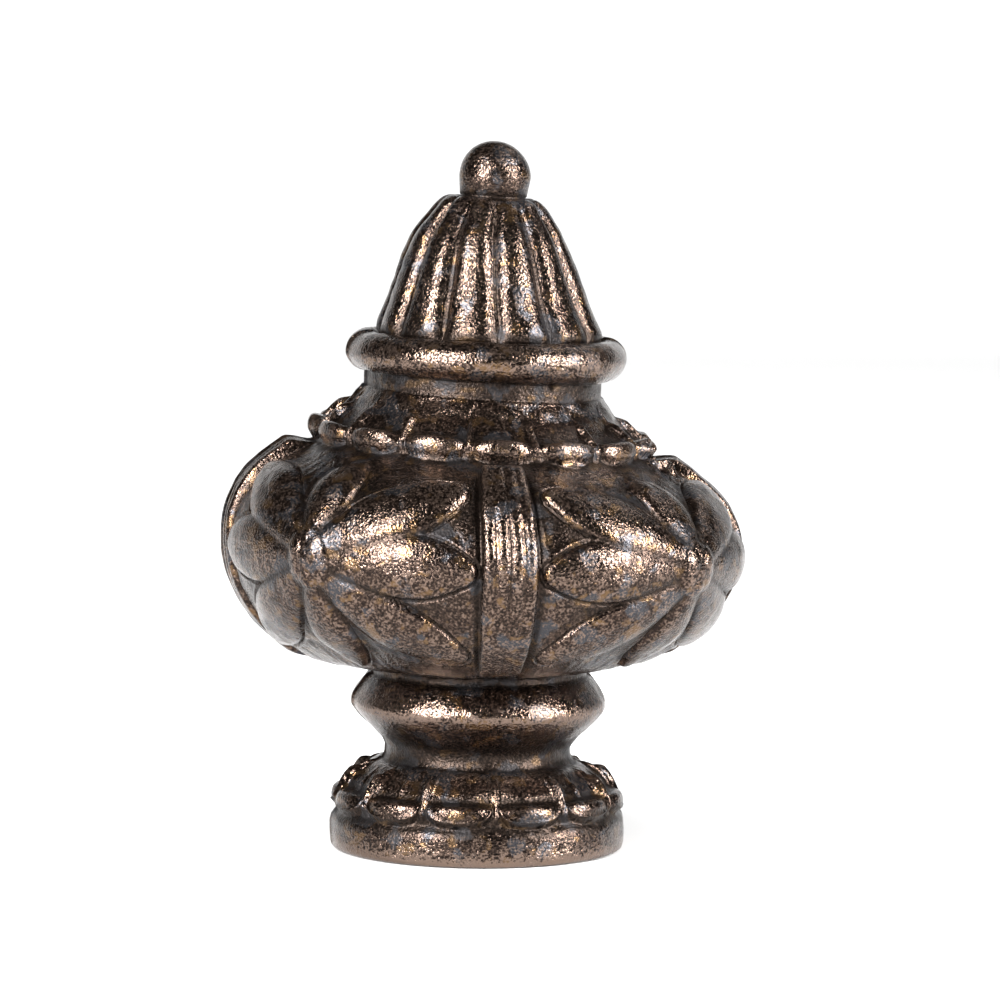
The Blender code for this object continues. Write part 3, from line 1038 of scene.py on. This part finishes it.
@dataclass
class Casting:
    """The whole finial: its mouldings from the sole up, laid into one skin."""

    flaws: CastFlaws = CastFlaws()
    finish: AntiqueBronze = AntiqueBronze()
    mouldings: list[Moulding] = field(
        default_factory=lambda: [Sole(), Rim(), Foot(), RidgedNeck(), Bulb(), Skirt(), Ring(), Bell(), Ball()]
    )

    def stack(self, foot: float) -> None:
        """Sets each moulding on the one below it.

        Args:
            foot: the height that the lowest one stands at.
        """
        for moulding in self.mouldings:
            moulding.foot = foot
            foot += moulding.height()

    def skin(self) -> tuple[Array, Array]:
        """The carved surface.

        Each point is the bare outline's point, moved along the outline's normal by the carving,
        and turned about the axis.

        Returns:
            The points as rows by columns by 3, in millimetres, and how far each lies in a hollow.
        """
        angle = (np.arange(COLUMNS) / COLUMNS * 360 - 180)[None, :]
        outlines = [m.outline() for m in reversed(self.mouldings)]
        bare = np.vstack(outlines)
        ways = outward(bare)
        heights = []
        start = 0
        for moulding, outline in zip(reversed(self.mouldings), outlines):
            rows = slice(start, start + len(outline))
            travelled = np.concatenate([[0.0], np.cumsum(np.hypot(*np.diff(bare[rows], axis=0).T))])[:, None]
            place = Place(angle, travelled / travelled[-1], travelled, bare[rows])
            heights.append(moulding.carving(place))
            start += len(outline)
        carved = np.vstack(heights)
        turned = revolved(bare[:, None, :] + np.zeros((1, COLUMNS, 1)), angle)
        carved = carved + self.flaws.relief(turned, angle)
        surface = revolved(bare[:, None, :] + carved[..., None] * ways[:, None, :], angle)
        hollow = hollows(surface)
        return self.flaws.warped(surface, angle), hollow

    def build(self, name: str) -> bpy.types.Object:
        """Makes the casting's object.

        Args:
            name: the object's name.

        Returns:
            The object, linked to the scene.
        """
        surface, hollow = self.skin()
        data = closed_mesh(name, surface * MM, hollow)
        piece = bpy.data.objects.new(name, data)
        bpy.context.scene.collection.objects.link(piece)
        thinning = piece.modifiers.new("Thinning", "DECIMATE")
        thinning.ratio = min(1.0, TRIANGLES_KEPT / (2 * surface.shape[0] * surface.shape[1]))
        return piece

    def dress(self, piece: bpy.types.Object) -> None:
        """Gives the casting its finish."""
        piece.data.materials.append(self.finish.material())


def revolved(points: Array, angle: Array) -> Array:
    """Turns points about the axis: x = r sin a, y = -r cos a, z = height.

    Args:
        points: (radius, height) points.
        angle: the angle of each in degrees.

    Returns:
        The x, y, z points.
    """
    radians = np.radians(angle)
    x = points[..., 0] * np.sin(radians)
    y = -points[..., 0] * np.cos(radians)
    return np.stack([x, y, points[..., 1]], axis=-1)


def outward(points: Array) -> Array:
    """The unit normals of a path: its direction turned by a right angle.

    Args:
        points: (radius, height) points that run down its outer side.

    Returns:
        One outward direction for each point.
    """
    along = np.gradient(points, axis=0)
    ways = np.column_stack([-along[:, 1], along[:, 0]])
    return ways / np.maximum(np.linalg.norm(ways, axis=1), 1e-9)[:, None]


def blurred(grid: Array, rows: int, columns: int) -> Array:
    """A running mean over a grid, from the differences of its running sums.

    Args:
        grid: numbers or points, which wrap round in their columns and hold on at the end rows.
        rows: how many rows to each side the mean takes in.
        columns: how many columns to each side it takes in.

    Returns:
        The mean at each place of the grid.
    """
    padded = np.concatenate([np.repeat(grid[:1], rows, 0), grid, np.repeat(grid[-1:], rows, 0)])
    total = np.cumsum(np.concatenate([np.zeros_like(padded[:1]), padded]), axis=0)
    mean = (total[2 * rows + 1 :] - total[: -2 * rows - 1]) / (2 * rows + 1)
    wide = np.concatenate([mean[:, -columns:], mean, mean[:, :columns]], axis=1)
    total = np.cumsum(np.concatenate([np.zeros_like(wide[:, :1]), wide], axis=1), axis=1)
    return (total[:, 2 * columns + 1 :] - total[:, : -2 * columns - 1]) / (2 * columns + 1)


def hollows(surface: Array) -> Array:
    """How deep each point lies below the mean of its neighbours, in millimetres, negative on crowns.

    The same measure averaged over a wide area is taken off, so a broad swell or waist counts as flat.

    Args:
        surface: the points as rows by columns by 3.

    Returns:
        One depth for each point.
    """
    down = np.gradient(surface, axis=0)
    round_axis = (np.roll(surface, -1, 1) - np.roll(surface, 1, 1)) / 2
    normal = np.cross(down, round_axis)
    normal /= np.maximum(np.linalg.norm(normal, axis=-1, keepdims=True), 1e-9)
    total = np.zeros(surface.shape[:2])
    for area in NEAR_AREAS:
        mean = blurred(blurred(surface, *area), *area)
        total += ((mean - surface) * normal).sum(-1)
    return total - blurred(blurred(total, *WIDE_AREA), *WIDE_AREA)


def closed_mesh(name: str, surface: Array, hollow: Array) -> bpy.types.Mesh:
    """A closed smooth mesh over a grid whose columns wrap round, with one point at each end of the axis.

    Args:
        name: the mesh's name.
        surface: the points as rows by columns by 3, in metres, the first and last rows on the axis.
        hollow: a number for each point, kept as the attribute "hollow".

    Returns:
        The mesh.
    """
    rows, columns = surface.shape[:2]
    inner = surface[1:-1].reshape(-1, 3)
    points = np.vstack([surface[0].mean(0), inner, surface[-1].mean(0)])
    number = 1 + np.arange((rows - 2) * columns).reshape(rows - 2, columns)
    beside = np.roll(number, -1, axis=1)
    quads = np.stack([number[:-1], number[1:], beside[1:], beside[:-1]], axis=-1).reshape(-1, 4)
    crown = np.stack([np.zeros(columns, int), number[0], beside[0]], axis=-1)
    tip = np.stack([np.full(columns, len(points) - 1), beside[-1], number[-1]], axis=-1)
    corners = np.concatenate([quads.ravel(), crown.ravel(), tip.ravel()])
    sizes = np.concatenate([np.full(len(quads), 4), np.full(2 * columns, 3)])
    data = bpy.data.meshes.new(name)
    data.vertices.add(len(points))
    data.vertices.foreach_set("co", points.ravel())
    data.loops.add(len(corners))
    data.loops.foreach_set("vertex_index", corners)
    data.polygons.add(len(sizes))
    data.polygons.foreach_set("loop_start", np.concatenate([[0], np.cumsum(sizes)[:-1]]))
    data.polygons.foreach_set("loop_total", sizes)
    depth = np.concatenate([[hollow[0].mean()], hollow[1:-1].ravel(), [hollow[-1].mean()]])
    data.attributes.new("hollow", "FLOAT", "POINT").data.foreach_set("value", depth.astype(np.float32))
    data.update(calc_edges=True)
    data.validate()
    data.shade_smooth()
    return data


@dataclass
class Backdrop:
    """A sheet of pale paper that lies under the object and curves up behind it."""

    width: float = 1.8
    front: float = 1.2
    back: float = 0.6
    bend: float = 0.3
    rise: float = 0.45
    finish: PalePaper = PalePaper()

    def build(self) -> bpy.types.Object:
        """Makes the sheet: a straight floor, a quarter circle and an upright back, carried along X.

        Returns:
            The sheet's object, linked to the scene.
        """
        angles = np.radians(np.linspace(-90, 0, 24))
        curve = np.column_stack([self.back + self.bend * np.cos(angles), self.bend * (1 + np.sin(angles))])
        side = np.vstack([[(-self.front, 0.0)], curve, [(self.back + self.bend, self.rise)]])
        x = np.array([-self.width / 2, self.width / 2])
        points = np.column_stack([np.tile(x, len(side)), np.repeat(side, 2, axis=0)])
        first = np.arange(len(side) - 1) * 2
        faces = np.stack([first, first + 1, first + 3, first + 2], axis=-1)
        data = bpy.data.meshes.new("paper_backdrop")
        data.from_pydata(points, [], faces)
        data.shade_smooth()
        sheet = bpy.data.objects.new("paper_backdrop", data)
        bpy.context.scene.collection.objects.link(sheet)
        return sheet

    def dress(self, sheet: bpy.types.Object) -> None:
        """Gives the sheet its finish."""
        sheet.data.materials.append(self.finish.material())


@dataclass(frozen=True)
class Softbox:
    """A rectangular studio light that faces the object from a bearing and a height."""

    name: str
    bearing: float
    elevation: float
    distance: float
    width: float
    height: float
    power: float
    in_reflections: bool = True

    def build(self, target: Vector) -> None:
        """Makes the light, which the camera itself doesn't see.

        Args:
            target: the point that it faces.
        """
        light = bpy.data.lights.new(self.name, "AREA")
        light.shape = "RECTANGLE"
        light.size = self.width
        light.size_y = self.height
        light.energy = self.power
        lamp = bpy.data.objects.new(self.name, light)
        turn_to, lift = math.radians(self.bearing), math.radians(self.elevation)
        level = math.cos(lift)
        way = Vector((math.sin(turn_to) * level, -math.cos(turn_to) * level, math.sin(lift)))
        lamp.location = target + way * self.distance
        lamp.rotation_euler = way.to_track_quat("Z", "Y").to_euler()
        lamp.visible_glossy = self.in_reflections
        lamp.visible_camera = False
        bpy.context.scene.collection.objects.link(lamp)


@dataclass
class Studio:
    """The camera, the lights and the dim room around them."""

    bearing: float = -6.2
    distance: float = 0.4
    camera_height: float = 0.066
    aim_height: float = 0.0284
    aim_side: float = 0.00162
    roll: float = 0.6
    lens: float = 177.8
    room: float = 0.02
    boxes: tuple[Softbox, ...] = (
        Softbox("left_softbox", -44.0, 24.0, 0.5, 0.13, 0.36, 10.6),
        Softbox("right_softbox", 60.0, 20.0, 0.5, 0.11, 0.34, 8.8),
        Softbox("top_light", 125.0, 52.0, 0.5, 0.12, 0.12, 0.3),
        Softbox("paper_light", 0.0, 67.0, 2.5, 3.0, 3.0, 160.0, False),
    )

    def build(self) -> None:
        """Makes the camera, the lights and the room's even light."""
        turn_to = math.radians(self.bearing)
        right = Vector((math.cos(turn_to), math.sin(turn_to), 0.0))
        aim = Vector((0.0, 0.0, self.aim_height)) + right * self.aim_side
        out = Vector((math.sin(turn_to), -math.cos(turn_to), 0.0))
        place = aim + out * self.distance
        place.z = self.camera_height
        data = bpy.data.cameras.new("camera")
        data.lens = self.lens
        data.sensor_width = 36.0
        data.clip_start = 0.01
        camera = bpy.data.objects.new("camera", data)
        look = (aim - place).to_track_quat("-Z", "Y").to_matrix().to_4x4()
        roll = Matrix.Rotation(math.radians(self.roll), 4, "Z")
        camera.matrix_world = Matrix.Translation(place) @ look @ roll
        bpy.context.scene.collection.objects.link(camera)
        bpy.context.scene.camera = camera
        for box in self.boxes:
            box.build(Vector((0.0, 0.0, self.aim_height)))
        world = bpy.data.worlds.new("room")
        world.use_nodes = True
        world.node_tree.nodes["Background"].inputs["Color"].default_value = (1, 1, 1, 1)
        world.node_tree.nodes["Background"].inputs["Strength"].default_value = self.room
        bpy.context.scene.world = world
        bpy.context.scene.view_settings.view_transform = "Standard"


def clear_startup_scene() -> None:
    """Removes the objects of the startup scene."""
    for thing in list(bpy.data.objects):
        bpy.data.objects.remove(thing, do_unlink=True)


def write_sizes(cad: tuple[Vector, Vector]) -> None:
    """Gathers the solid's box and the dressed object's box as plain lists of numbers; nothing is written.

    Args:
        cad: the lower and the upper corner of the solid's box.
    """
    sizes = {"cad": [list(corner) for corner in cad], "visual": [list(corner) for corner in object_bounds()]}


def main() -> None:
    """Builds the casting in place of its plain solid, and the studio round it."""
    logging.basicConfig(level=logging.INFO, format="%(message)s")
    clear_startup_scene()
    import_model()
    cad = tuple(corner.copy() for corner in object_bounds())
    casting = Casting()
    casting.stack(0.0)
    finial = casting.build("finial_casting")
    casting.dress(finial)
    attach(finial, "root")
    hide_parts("finial")
    points = len(finial.data.vertices)
    LOG.info("casting: %d mouldings, %d points before thinning", len(casting.mouldings), points)
    backdrop = Backdrop()
    floor = backdrop.build()
    backdrop.dress(floor)
    floor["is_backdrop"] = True
    LOG.info("backdrop: %.1f m wide", backdrop.width)
    studio = Studio()
    studio.build()
    LOG.info("studio: one camera and %d lights", len(studio.boxes))
    write_sizes(cad)


if __name__ == "__main__":
    main()
